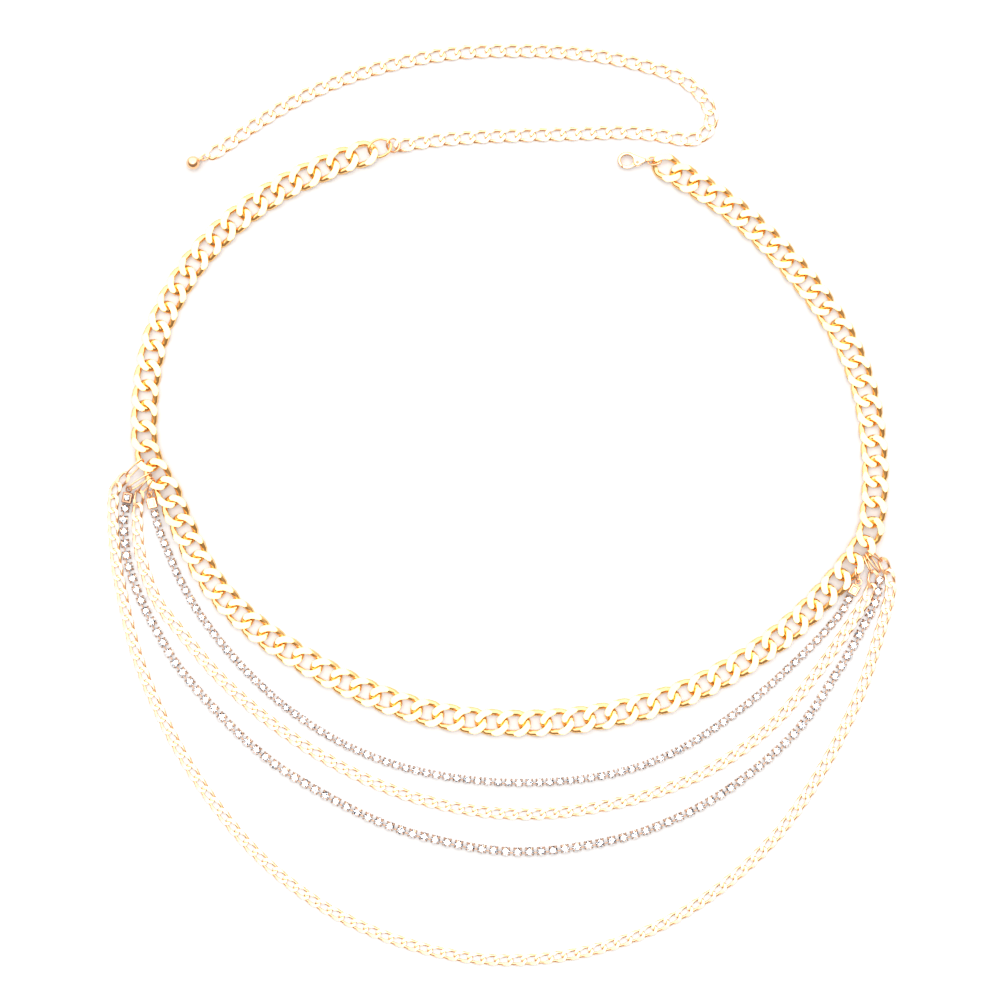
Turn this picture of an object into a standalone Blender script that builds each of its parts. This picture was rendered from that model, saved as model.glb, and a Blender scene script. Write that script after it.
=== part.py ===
"""A layered body chain lying flat: a heavy curb chain with an extender and a clasp, and four finer strands.

Lengths are in metres. +Z is up from the surface that the piece lies on, +X and +Y run along it, and the
origin is on that surface, under the middle of the whole piece.
"""

from math import atan2, ceil, cos, hypot, pi, radians, sin

import bmesh
import bpy
from mathutils import Matrix, Vector

MM = 0.001

# Heavy curb chain: its links are longer apart where the strands pull it taut
MAIN_PITCH = 8.15 * MM
TAUT_PITCH = 8.72 * MM
TAUT_FROM, TAUT_TO = 0.345, 0.625
MAIN_WIDTH = 10.5 * MM
MAIN_WIRE = 1.9 * MM
MAIN_TWIST = radians(33)

# Oval link between the heavy chain and the extender
END_LINK_LENGTH = 10.6 * MM
END_LINK_WIDTH = 9.0 * MM
END_LINK_WIRE = 1.4 * MM
END_LINK_TWIST = radians(32)

# Extender, its first link, end ring and ball
EXTENDER_WIDTH = 5.0 * MM
EXTENDER_HEIGHT = 3.0 * MM
FIRST_LINK_LENGTH = 6.2 * MM
FIRST_LINK_WIDTH = 7.0 * MM
FIRST_LINK_WIRE = 1.0 * MM
FIRST_LINK_TWIST = radians(34)
BALL_DIAMETER = 5.6 * MM
EYE_WIRE = 0.7 * MM
END_RING_LENGTH = 4.4 * MM
END_RING_WIDTH = 2.9 * MM
END_RING_WIRE = 0.7 * MM

# Strands
STONE_INNER_WIDTH, STONE_INNER_HEIGHT = 3.1 * MM, 2.3 * MM
STONE_OUTER_WIDTH, STONE_OUTER_HEIGHT = 3.5 * MM, 2.6 * MM
CURB_WIDTH, CURB_HEIGHT = 3.6 * MM, 2.2 * MM
STRAND_TIP_SHARE = 0.6

# Oval hangers that carry the strands, and the folded cups that end the stone strands
HANGER_WIDTH = 4.7 * MM
HANGER_WIRE = 0.7 * MM
HANGER_TIP_HEIGHT = 2.1 * MM
CUP_LENGTH = 4.4 * MM
CUP_WIDTH = 4.0 * MM
CUP_HEIGHT = 2.8 * MM
CUP_EDGE = 0.35 * MM
CUP_EYE_RADIUS = 1.2 * MM

# The heavy links that carry the strands lie on the hangers, so they are raised
RAISED_LINKS = (23, 64)
RAISED_BY = 1.1 * MM
RAISED_REACH = 4

# Lobster clasp
CLASP_THICKNESS = 2.4 * MM
CLASP_OUTER_X, CLASP_OUTER_Y = 3.7 * MM, 3.4 * MM
CLASP_HOLE_X, CLASP_HOLE_Y = 2.55 * MM, 2.2 * MM
CLASP_PIVOT_X, CLASP_PIVOT_Y = 4.15 * MM, -0.8 * MM
CLASP_CHEEK_RADIUS = 1.5 * MM
CLASP_PIN_RADIUS = 0.5 * MM
CLASP_SLOT = 1.1 * MM
CLASP_NECK_X = 7.0 * MM
CLASP_NECK_WIDTH = 1.7 * MM
CLASP_EYE_X = 8.4 * MM
CLASP_EYE_RADIUS = 1.2 * MM
CLASP_EYE_WIRE = 0.8 * MM
CLASP_EDGE = 0.25 * MM
LEVER_TIP_RADIUS = 6.0 * MM
LEVER_WIDTH = 0.85 * MM
LEVER_THICKNESS = 1.8 * MM
CLASP_RING_WIDTH = 4.8 * MM
CLASP_RING_WIRE = 0.8 * MM

# Fit between pieces
CLEARANCE = 0.3 * MM
JOIN_EASE = 0.2 * MM
BITE = 0.14 * MM

# Facets
LINK_SIDES = 10
WIRE_SIDES = 5
TUBE_SIDES_SETTING = 2
STRAND_POINT_SPACING = 11 * MM

# Routes, in millimetres along X and Y: a few points chosen on each chain as it lies
MAIN_ROUTE = [
    (66, 135.2), (86.9, 122.5), (105.6, 106.8), (122.1, 88.6), (136, 68.4), (145.2, 45.3), (148.8, 21.1),
    (148.8, 4.5), (146.6, -11.2), (143, -17.7), (133.5, -30.3), (116.3, -47.9), (95.2, -63.2), (72.4, -75),
    (47.8, -82.4), (22.3, -86.2), (-4.5, -86.4), (-30.1, -82.5), (-54.6, -74.2), (-78, -62.2),
    (-99.5, -47.7), (-116, -30.4), (-127.4, -8.5), (-133.8, 6.6), (-138, 13.7), (-141.4, 20.7),
    (-142.8, 28.1), (-141.6, 52.1), (-135.3, 75.6), (-123.1, 97), (-106.4, 114.3), (-86.3, 127.9),
    (-64.4, 137.8), (-56, 140.6),
]
EXTENDER_ROUTE = [
    (-37.2, 144.6), (-25, 146.4), (-6.3, 147.8), (12.4, 148.4), (30.9, 148.9), (49.4, 149.4), (62, 148.4),
    (73, 146.6), (79.4, 147.7), (83.6, 153.4), (81, 162.6), (71.2, 171.2), (59.7, 175.3), (42, 179.4),
    (24, 181.5), (5.7, 182.1), (-12.8, 181.6), (-30.8, 179.4), (-48.8, 175.3), (-66.3, 169.6),
    (-83.1, 161.9), (-98.8, 152.4), (-111.5, 143.4),
]
STONE_INNER_ROUTE = [
    (-138.4, -4), (-137.3, -8.6), (-134.4, -16.1), (-128.1, -30.6), (-118.8, -46.1), (-103.6, -64.5),
    (-84.7, -81.7), (-60.6, -96.4), (-32.1, -106.2), (2.7, -110.5), (38.6, -108.1), (68, -98.8),
    (96.2, -80.6), (119.8, -59.8), (134.4, -44),
]
CURB_INNER_ROUTE = [
    (-145.6, -0.4), (-145.7, -8.8), (-144.9, -17.8), (-142.4, -27.1), (-137.4, -38.6), (-129, -49.6),
    (-112, -69.4), (-92, -86.7), (-69.9, -101.2), (-45.8, -112.8), (-19.6, -120.3), (7.8, -123.2),
    (34.5, -121), (61.1, -114.6), (85.9, -103.8), (107.4, -87.9), (124.6, -68.2), (138.3, -48.8),
    (145.8, -36.6), (148, -31.5),
]
STONE_OUTER_ROUTE = [
    (-151.2, -4.8), (-150.6, -14.3), (-149.2, -23.6), (-144.8, -36.3), (-138.5, -48.9), (-129.2, -64.4),
    (-114.8, -81.2), (-99.6, -96), (-82.5, -108.6), (-51.5, -125.2), (-24.6, -133.7), (4.2, -138.1),
    (33.1, -135.7), (60.2, -128.7), (88.4, -114.6), (116.1, -91.7), (134, -66.4), (143.6, -49.6),
    (149.2, -38.2),
]
CURB_OUTER_ROUTE = [
    (-153.8, 8.4), (-155.3, 3), (-155.5, -5), (-154.8, -16.4), (-152.8, -31), (-145.7, -60.4),
    (-133.3, -89.5), (-116.5, -116.8), (-95.2, -141.8), (-69.1, -161.5), (-39, -174.6), (-6.5, -181.2),
    (26.6, -179.5), (58.4, -169.9), (86.5, -153.2), (110.2, -131.1), (128.6, -104.3), (142.7, -76),
    (151.4, -49.6), (154.7, -37), (155.3, -31.4), (154.3, -26.6),
]

# Hangers: the heavy link that carries each, how far along that link, and where the hanger's far tip lies
HANGERS = {
    "curb_outer_left": (65, -1.5 * MM, (-149.8, 11.8)),
    "stone_outer_left": (64, 1.1 * MM, (-149, 6.8)),
    "curb_inner_left": (64, -0.9 * MM, (-144.7, 5.2)),
    "stone_inner_left": (64, -2.4 * MM, (-140.8, 4.6)),
    "curb_outer_right": (23, -1.3 * MM, (151.8, -21.9)),
    "stone_outer_right": (23, 0.7 * MM, (150.8, -26.4)),
    "curb_inner_right": (23, 2.2 * MM, (147.8, -27)),
    "stone_inner_right": (24, 0.3 * MM, (142.4, -30.4)),
}

GOLD = {"color": (0.95, 0.66, 0.24, 1), "metallic": 1.0, "roughness": 0.2}
PALE_GOLD = {"color": (0.93, 0.68, 0.42, 1), "metallic": 1.0, "roughness": 0.2}
STONES = {"color": (0.86, 0.87, 0.9, 1), "metallic": 0.3, "roughness": 0.1}


def clear_scene():
    for thing in list(bpy.data.objects):
        bpy.data.objects.remove(thing)


def material(name, look):
    made = bpy.data.materials.get(name) or bpy.data.materials.new(name)
    made.use_nodes = True
    surface = made.node_tree.nodes["Principled BSDF"]
    surface.inputs["Base Color"].default_value = look["color"]
    surface.inputs["Metallic"].default_value = look["metallic"]
    surface.inputs["Roughness"].default_value = look["roughness"]
    return made


def collection(name):
    made = bpy.data.collections.new(name)
    bpy.context.scene.collection.children.link(made)
    return made


def add(name, mesh, group, look=None):
    """An object for this mesh in a collection, with its material."""
    thing = bpy.data.objects.new(name, mesh)
    group.objects.link(thing)
    if look:
        mesh.materials.clear()
        mesh.materials.append(look)
    return thing


def smooth_curve(points, steps=24):
    """A dense Catmull-Rom curve through the points of a route."""
    ends = [2 * points[0] - points[1], *points, 2 * points[-1] - points[-2]]
    dense = []
    for before, start, end, after in zip(ends, ends[1:], ends[2:], ends[3:]):
        for step in range(steps):
            t = step / steps
            dense.append(0.5 * (2 * start + (end - before) * t
                                + (2 * before - 5 * start + 4 * end - after) * t * t
                                + (3 * start - before - 3 * end + after) * t ** 3))
    dense.append(points[-1])
    return dense


def distances_along(points):
    travelled = [0.0]
    for start, end in zip(points, points[1:]):
        travelled.append(travelled[-1] + (end - start).length)
    return travelled


def points_at(dense, wanted):
    """The points at these distances along a dense curve."""
    travelled = distances_along(dense)
    places, k = [], 0
    for distance in wanted:
        while k < len(dense) - 2 and travelled[k + 1] < distance:
            k += 1
        share = (distance - travelled[k]) / (travelled[k + 1] - travelled[k])
        places.append(dense[k].lerp(dense[k + 1], share))
    return places


def on_floor(points_mm):
    return [Vector((x * MM, y * MM, 0)) for x, y in points_mm]


def ring_mesh(name, half_back, half_front, width, wire, twist=0.0):
    """A link along X: a ring drawn out to its half lengths, then twisted about its long axis.

    The half lengths reach to the middle of the wire at each tip. The wire is five-sided with one corner
    facing inwards, and each tip is the middle of a straight stretch, so that links cross on one edge each.
    """
    radius = (width - wire) / 2
    half_step = pi / LINK_SIDES
    bm = bmesh.new()
    inward = Matrix.Rotation(half_step, 4, "Z") @ Matrix.Translation((radius, 0, 0))
    section = inward @ Matrix.Rotation(pi, 4, "Z") @ Matrix.Rotation(pi / 2, 4, "X")
    bmesh.ops.create_circle(bm, segments=WIRE_SIDES, radius=wire / 2, matrix=section @ start_at_x())
    bmesh.ops.spin(bm, geom=bm.verts[:] + bm.edges[:], cent=(0, 0, 0), axis=(0, 0, 1), dvec=(0, 0, 0),
                   angle=2 * pi, steps=LINK_SIDES, use_merge=False, use_duplicate=False)
    bmesh.ops.remove_doubles(bm, verts=bm.verts, dist=0.001 * MM)
    straight_tip = radius * cos(half_step)
    for vertex in bm.verts:
        x = vertex.co.x
        side = 0 if abs(x) < 0.01 * MM else (1 if x > 0 else -1)
        half = half_front if side > 0 else half_back
        vertex.co.x += side * (half - straight_tip)
        vertex.co = Matrix.Rotation(-twist * vertex.co.x / half, 3, "X") @ vertex.co
    bmesh.ops.recalc_face_normals(bm, faces=bm.faces)
    mesh = bpy.data.meshes.new(name)
    bm.to_mesh(mesh)
    bm.free()
    return mesh


def start_at_x():
    """Turns a circle so that its first corner lies on +X."""
    return Matrix.Rotation(-pi / 2, 4, "Z")


def inner_reach(wire):
    """How far a ring's inner edge stands in from the middle of its wire at a tip."""
    return wire / 2 * cos(pi / LINK_SIDES)


def moved_copies(name, meshes, matrices):
    """One mesh that holds each of these meshes at its place."""
    bm = bmesh.new()
    for mesh, matrix in zip(meshes, matrices):
        start = len(bm.verts)
        bm.from_mesh(mesh)
        bmesh.ops.transform(bm, matrix=matrix, verts=bm.verts[start:])
    joined = bpy.data.meshes.new(name)
    bm.to_mesh(joined)
    bm.free()
    return joined


def boolean(thing, other, operation, cutters):
    """Joins or cuts a body with another, which moves to the cutters."""
    for group in other.users_collection:
        group.objects.unlink(other)
    cutters.objects.link(other)
    other.hide_render = True
    other.display_type = "WIRE"
    step = thing.modifiers.new(operation.lower(), "BOOLEAN")
    step.operation = operation
    step.solver = "EXACT"
    step.object = other


def main_spacings(length):
    """The distances between neighbouring heavy links, fitted to the length of the route."""
    spacings, travelled = [], 0.0
    while travelled < length - MAIN_PITCH / 2:
        taut = TAUT_FROM < travelled / length < TAUT_TO
        spacings.append(TAUT_PITCH if taut else MAIN_PITCH)
        travelled += spacings[-1]
    return [spacing * length / travelled for spacing in spacings]


def main_links():
    """The place, heading and half lengths of each link of the heavy chain."""
    dense = smooth_curve(on_floor(MAIN_ROUTE))
    spacings = main_spacings(distances_along(dense)[-1])
    wanted = [sum(spacings[:count]) for count in range(len(spacings) + 1)]
    places = points_at(dense, wanted)
    reach = inner_reach(MAIN_WIRE) - BITE / 2
    links = []
    for number, place in enumerate(places):
        nearest = min(abs(number - raised) for raised in RAISED_LINKS)
        place.z = RAISED_BY * max(1 - nearest / RAISED_REACH, 0)
    for number, place in enumerate(places):
        before = places[max(number - 1, 0)]
        after = places[min(number + 1, len(places) - 1)]
        back = spacings[max(number - 1, 0)] / 2 + reach
        front = spacings[min(number, len(spacings) - 1)] / 2 + reach
        links.append({"place": place, "heading": (after - before).normalized(), "back": back, "front": front})
    last_right = len(links) // 2 - 1
    links[last_right]["front"] += (BITE + CLEARANCE) / 2
    links[last_right + 1]["back"] += (BITE + CLEARANCE) / 2
    return links


def link_mesh(link):
    return ring_mesh("link", link["back"], link["front"], MAIN_WIDTH, MAIN_WIRE, MAIN_TWIST)


def depth_below(link):
    """How far a heavy link reaches below the middle of its wire, as it lies."""
    lying = standing(link["place"], link["heading"], 0)
    return -min((lying @ vertex.co).z for vertex in link_mesh(link).vertices)


def standing(place, heading, height):
    turn = Matrix.Rotation(atan2(heading.y, heading.x), 4, "Z")
    slope = Matrix.Rotation(-atan2(heading.z, hypot(heading.x, heading.y)), 4, "Y")
    return Matrix.Translation(place + Vector((0, 0, height))) @ turn @ slope


def heavy_chain(links, lift, parts, cutters, look):
    """Both halves of the heavy chain, each fused at the tips of its links."""
    middle = len(links) // 2
    for name, chosen in (("main_chain_right", links[:middle]), ("main_chain_left", links[middle:])):
        halves = []
        for parity in (0, 1):
            every_other = chosen[parity::2]
            meshes = [link_mesh(link) for link in every_other]
            matrices = [standing(link["place"], link["heading"], lift) for link in every_other]
            halves.append(moved_copies(name, meshes, matrices))
        chain = add(name, halves[0], parts, look)
        boolean(chain, add(name + "_every_other", halves[1], cutters, look), "UNION", cutters)


def span_ring(name, near, far, side, width, wire, parts, look, twist=0.0):
    """A ring whose wire tips are at two points, with its width along the side direction."""
    way = (far - near).normalized()
    up = way.cross(side).normalized()
    axes = Matrix((way, up.cross(way), up)).transposed().to_4x4()
    half = (far - near).length / 2
    mesh = ring_mesh(name, half, half, width, wire, twist)
    mesh.transform(Matrix.Translation((near + far) / 2) @ axes)
    return add(name, mesh, parts, look)


def level_side(way):
    """The level direction to the left of a way."""
    return Vector((-way.y, way.x, 0)).normalized()


def bar_of(link, along, lift):
    """The middle of a heavy link's outer side bar, some way along it."""
    radius = (MAIN_WIDTH - MAIN_WIRE) / 2
    half = link["front"] if along > 0 else link["back"]
    beyond = max(abs(along) - (half - radius * cos(pi / LINK_SIDES)), 0)
    out = (radius ** 2 - beyond ** 2) ** 0.5
    turned = Matrix.Rotation(-MAIN_TWIST * along / half, 3, "X") @ Vector((along, out, 0))
    return standing(link["place"], link["heading"], lift) @ turned


def hangers(links, lift, parts, look):
    """An upright oval ring round a side bar for each end of each strand. Gives their far tips."""
    tips = {}
    for name, (number, along, tip) in HANGERS.items():
        link = links[number]
        bar = bar_of(link, along, lift)
        bar_way = (bar_of(link, along + 0.1 * MM, lift) - bar).normalized()
        far = Vector((tip[0] * MM, tip[1] * MM, HANGER_TIP_HEIGHT))
        way = (far - bar).normalized()
        side = way.cross(bar_way)
        behind = (HANGER_WIDTH - HANGER_WIRE) / 2 / side.length
        span_ring("hanger_" + name, bar - way * behind, far, side.normalized(), HANGER_WIDTH, HANGER_WIRE,
                  parts, look)
        tips[name] = (far, side.normalized())
    return tips


def strand(name, points, width, height, parts, look, tips=STRAND_TIP_SHARE):
    """A chain's outer form: a tube along its route, flattened to the chain's height and narrow at its tips."""
    dense = smooth_curve(points)
    length = distances_along(dense)[-1]
    count = max(ceil(length / STRAND_POINT_SPACING), 2)
    places = points_at(dense, [length * number / count for number in range(count + 1)])
    shape = bpy.data.curves.new(name, "CURVE")
    shape.dimensions = "3D"
    shape.bevel_depth = width / 2
    shape.bevel_resolution = TUBE_SIDES_SETTING
    shape.use_fill_caps = True
    spline = shape.splines.new("POLY")
    spline.points.add(len(places) - 1)
    for number, (point, place) in enumerate(zip(spline.points, places)):
        point.co = (place.x, place.y, width / 2, 1)
        at_tip = number in (0, len(places) - 1)
        point.radius = tips if at_tip else 1.0
    tube = bpy.data.objects.new(name, shape)
    tube.scale = (1, 1, height / width)
    parts.objects.link(tube)
    shape.materials.append(look)
    return tube


def cup(name, tip, target_mm, parts, cutters, look):
    """A folded cup whose eye goes round a hanger's far tip. Gives the point where its strand starts."""
    eye, hanger_side = tip
    heading = towards(eye, target_mm)
    start = CUP_EYE_RADIUS + EYE_WIRE / 4
    size = Matrix.Diagonal((CUP_LENGTH, CUP_WIDTH, CUP_HEIGHT, 1))
    middle = Matrix.Translation((start + CUP_LENGTH / 2, 0, CUP_HEIGHT / 2))
    bm = bmesh.new()
    bmesh.ops.create_cube(bm, size=1, matrix=middle @ size)
    bmesh.ops.bevel(bm, geom=bm.edges[:], offset=CUP_EDGE, segments=1, affect="EDGES")
    mesh = bpy.data.meshes.new(name)
    bm.to_mesh(mesh)
    bm.free()
    ground = Vector((eye.x, eye.y, 0))
    mesh.transform(standing(ground, heading, 0))
    body = add(name, mesh, parts, look)
    ring = span_ring(name + "_eye", eye - heading * CUP_EYE_RADIUS, eye + heading * CUP_EYE_RADIUS,
                     hanger_side.cross(heading), 2 * CUP_EYE_RADIUS + EYE_WIRE, EYE_WIRE, cutters, look)
    boolean(body, ring, "UNION", cutters)
    return ground + heading * (start + CUP_LENGTH + CLEARANCE)


def towards(start, end_mm):
    """The level direction from a point to a route point in millimetres."""
    line = Vector((end_mm[0] * MM - start.x, end_mm[1] * MM - start.y, 0))
    return line.normalized()


def past(tip, target_mm):
    """Where a strand starts when it follows a hanger's far tip."""
    far = tip[0]
    heading = towards(far, target_mm)
    return Vector((far.x, far.y, 0)) + heading * (HANGER_WIRE / 2 + CLEARANCE)


def strands(tips, parts, cutters, look, stones):
    """The four finer strands, and the cups that end the stone strands."""
    inner, outer = STONE_INNER_ROUTE, STONE_OUTER_ROUTE
    inner_start = cup("cup_inner_left", tips["stone_inner_left"], inner[0], parts, cutters, look)
    inner_end = cup("cup_inner_right", tips["stone_inner_right"], inner[-1], parts, cutters, look)
    outer_start = cup("cup_outer_left", tips["stone_outer_left"], outer[0], parts, cutters, look)
    outer_end = past(tips["stone_outer_right"], outer[-1])
    strand("stone_strand_inner", [inner_start, *on_floor(inner), inner_end],
           STONE_INNER_WIDTH, STONE_INNER_HEIGHT, parts, stones)
    strand("stone_strand_outer", [outer_start, *on_floor(outer), outer_end],
           STONE_OUTER_WIDTH, STONE_OUTER_HEIGHT, parts, stones)
    for place, route in (("inner", CURB_INNER_ROUTE), ("outer", CURB_OUTER_ROUTE)):
        start = past(tips["curb_" + place + "_left"], route[0])
        end = past(tips["curb_" + place + "_right"], route[-1])
        strand("curb_strand_" + place, [start, *on_floor(route), end], CURB_WIDTH, CURB_HEIGHT, parts, look)


def extender(links, lift, parts, cutters, gold, pale):
    """The oval end link, the extender's first link, its chain, and the ring and ball that end it."""
    last = links[-1]
    flat = Vector((last["heading"].x, last["heading"].y, 0))
    tip = last["place"] + flat * last["front"] + Vector((0, 0, lift))
    gap = inner_reach(MAIN_WIRE) + CLEARANCE + inner_reach(END_LINK_WIRE)
    near = tip - flat * gap
    end_span = END_LINK_LENGTH - END_LINK_WIRE
    far = near + flat * end_span
    span_ring("end_link", near, far, level_side(flat), END_LINK_WIDTH, END_LINK_WIRE, parts, gold,
              END_LINK_TWIST)

    gap = END_LINK_WIRE / 2 + CLEARANCE + FIRST_LINK_WIRE / 2 + JOIN_EASE
    near = far - flat * gap
    onward = towards(near, EXTENDER_ROUTE[0])
    far = near + onward * (FIRST_LINK_LENGTH - FIRST_LINK_WIRE)
    far.z = lift * 0.8
    span_ring("extender_first_link", near, far, level_side(onward), FIRST_LINK_WIDTH, FIRST_LINK_WIRE,
              parts, pale, FIRST_LINK_TWIST)
    start = Vector((far.x, far.y, 0)) + onward * (FIRST_LINK_WIRE / 2 + CLEARANCE)

    ball_place = Vector((-123.3 * MM, 137 * MM, BALL_DIAMETER / 2))
    back = towards(ball_place, EXTENDER_ROUTE[-1])
    eye_radius = inner_reach(END_RING_WIRE) + CLEARANCE + EYE_WIRE / 2
    eye_lift = eye_radius + EYE_WIRE / 2
    slope = (BALL_DIAMETER / 2 - eye_lift) / (BALL_DIAMETER / 2 + eye_radius)
    eye = ball_place + (back * (1 - slope ** 2) ** 0.5 - Vector((0, 0, slope))) * (BALL_DIAMETER / 2 + eye_radius)
    bm = bmesh.new()
    bmesh.ops.create_uvsphere(bm, u_segments=12, v_segments=8, radius=BALL_DIAMETER / 2,
                              matrix=Matrix.Translation(ball_place))
    mesh = bpy.data.meshes.new("extender_ball")
    bm.to_mesh(mesh)
    bm.free()
    ball = add("extender_ball", mesh, parts, pale)
    ring = ring_mesh("ball_eye", eye_radius, eye_radius, 2 * eye_radius + EYE_WIRE, EYE_WIRE)
    ring.transform(standing(Vector((eye.x, eye.y, 0)), back, eye.z) @ Matrix.Rotation(pi / 2, 4, "X"))
    boolean(ball, add("ball_eye", ring, cutters, pale), "UNION", cutters)

    far = eye + back * (END_RING_LENGTH - END_RING_WIRE)
    far.z = END_RING_WIRE / 2
    span_ring("extender_end_ring", eye, far, level_side(back), END_RING_WIDTH, END_RING_WIRE, parts, pale)
    end = Vector((far.x, far.y, 0)) + back * (END_RING_WIRE / 2 + CLEARANCE)
    strand("extender_chain", [start, *on_floor(EXTENDER_ROUTE), end], EXTENDER_WIDTH, EXTENDER_HEIGHT, parts, pale)


def ellipse(half_x, half_y, start, end, steps):
    angles = [radians(start + (end - start) * step / steps) for step in range(steps + 1)]
    return [(half_x * cos(angle), half_y * sin(angle)) for angle in angles]


def circle(centre, radius, start, end, steps):
    return [(centre[0] + x, centre[1] + y) for x, y in ellipse(radius, radius, start, end, steps)]


def plate(name, outline, low, high, edge=0.0):
    """A flat body with this outline, from one height to another."""
    shape = bpy.data.curves.new(name, "CURVE")
    shape.dimensions = "2D"
    shape.fill_mode = "BOTH"
    shape.extrude = (high - low) / 2
    spline = shape.splines.new("POLY")
    spline.points.add(len(outline) - 1)
    for point, (x, y) in zip(spline.points, outline):
        point.co = (x, y, 0, 1)
    spline.use_cyclic_u = True
    guide = bpy.data.objects.new(name, shape)
    bpy.context.scene.collection.objects.link(guide)
    bpy.context.view_layer.update()
    mesh = bpy.data.meshes.new_from_object(guide.evaluated_get(bpy.context.evaluated_depsgraph_get()))
    bpy.data.objects.remove(guide)
    bm = bmesh.new()
    bm.from_mesh(mesh)
    bmesh.ops.remove_doubles(bm, verts=bm.verts, dist=0.001 * MM)
    bmesh.ops.dissolve_limit(bm, angle_limit=radians(1), verts=bm.verts, edges=bm.edges)
    if edge:
        rim = [e for e in bm.edges if abs(e.verts[0].co.z - e.verts[1].co.z) < 0.01 * MM]
        bmesh.ops.bevel(bm, geom=rim, offset=edge, segments=1, affect="EDGES")
    bmesh.ops.translate(bm, verts=bm.verts, vec=(0, 0, (low + high) / 2))
    bmesh.ops.recalc_face_normals(bm, faces=bm.faces)
    bm.to_mesh(mesh)
    bm.free()
    return mesh


def cylinder(name, centre, radius, low, high, sides=12):
    bm = bmesh.new()
    bmesh.ops.create_cone(bm, cap_ends=True, segments=sides, radius1=radius, radius2=radius, depth=high - low,
                          matrix=Matrix.Translation((*centre, (low + high) / 2)))
    mesh = bpy.data.meshes.new(name)
    bm.to_mesh(mesh)
    bm.free()
    return mesh


def angle_within(half_x, half_y, reach):
    """The first angle past the hook's far side at which an ellipse is within reach of the lever's pivot."""
    angle = 180
    while hypot(half_x * cos(radians(angle)) - CLASP_PIVOT_X, half_y * sin(radians(angle)) - CLASP_PIVOT_Y) > reach:
        angle += 1
    return angle


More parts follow.
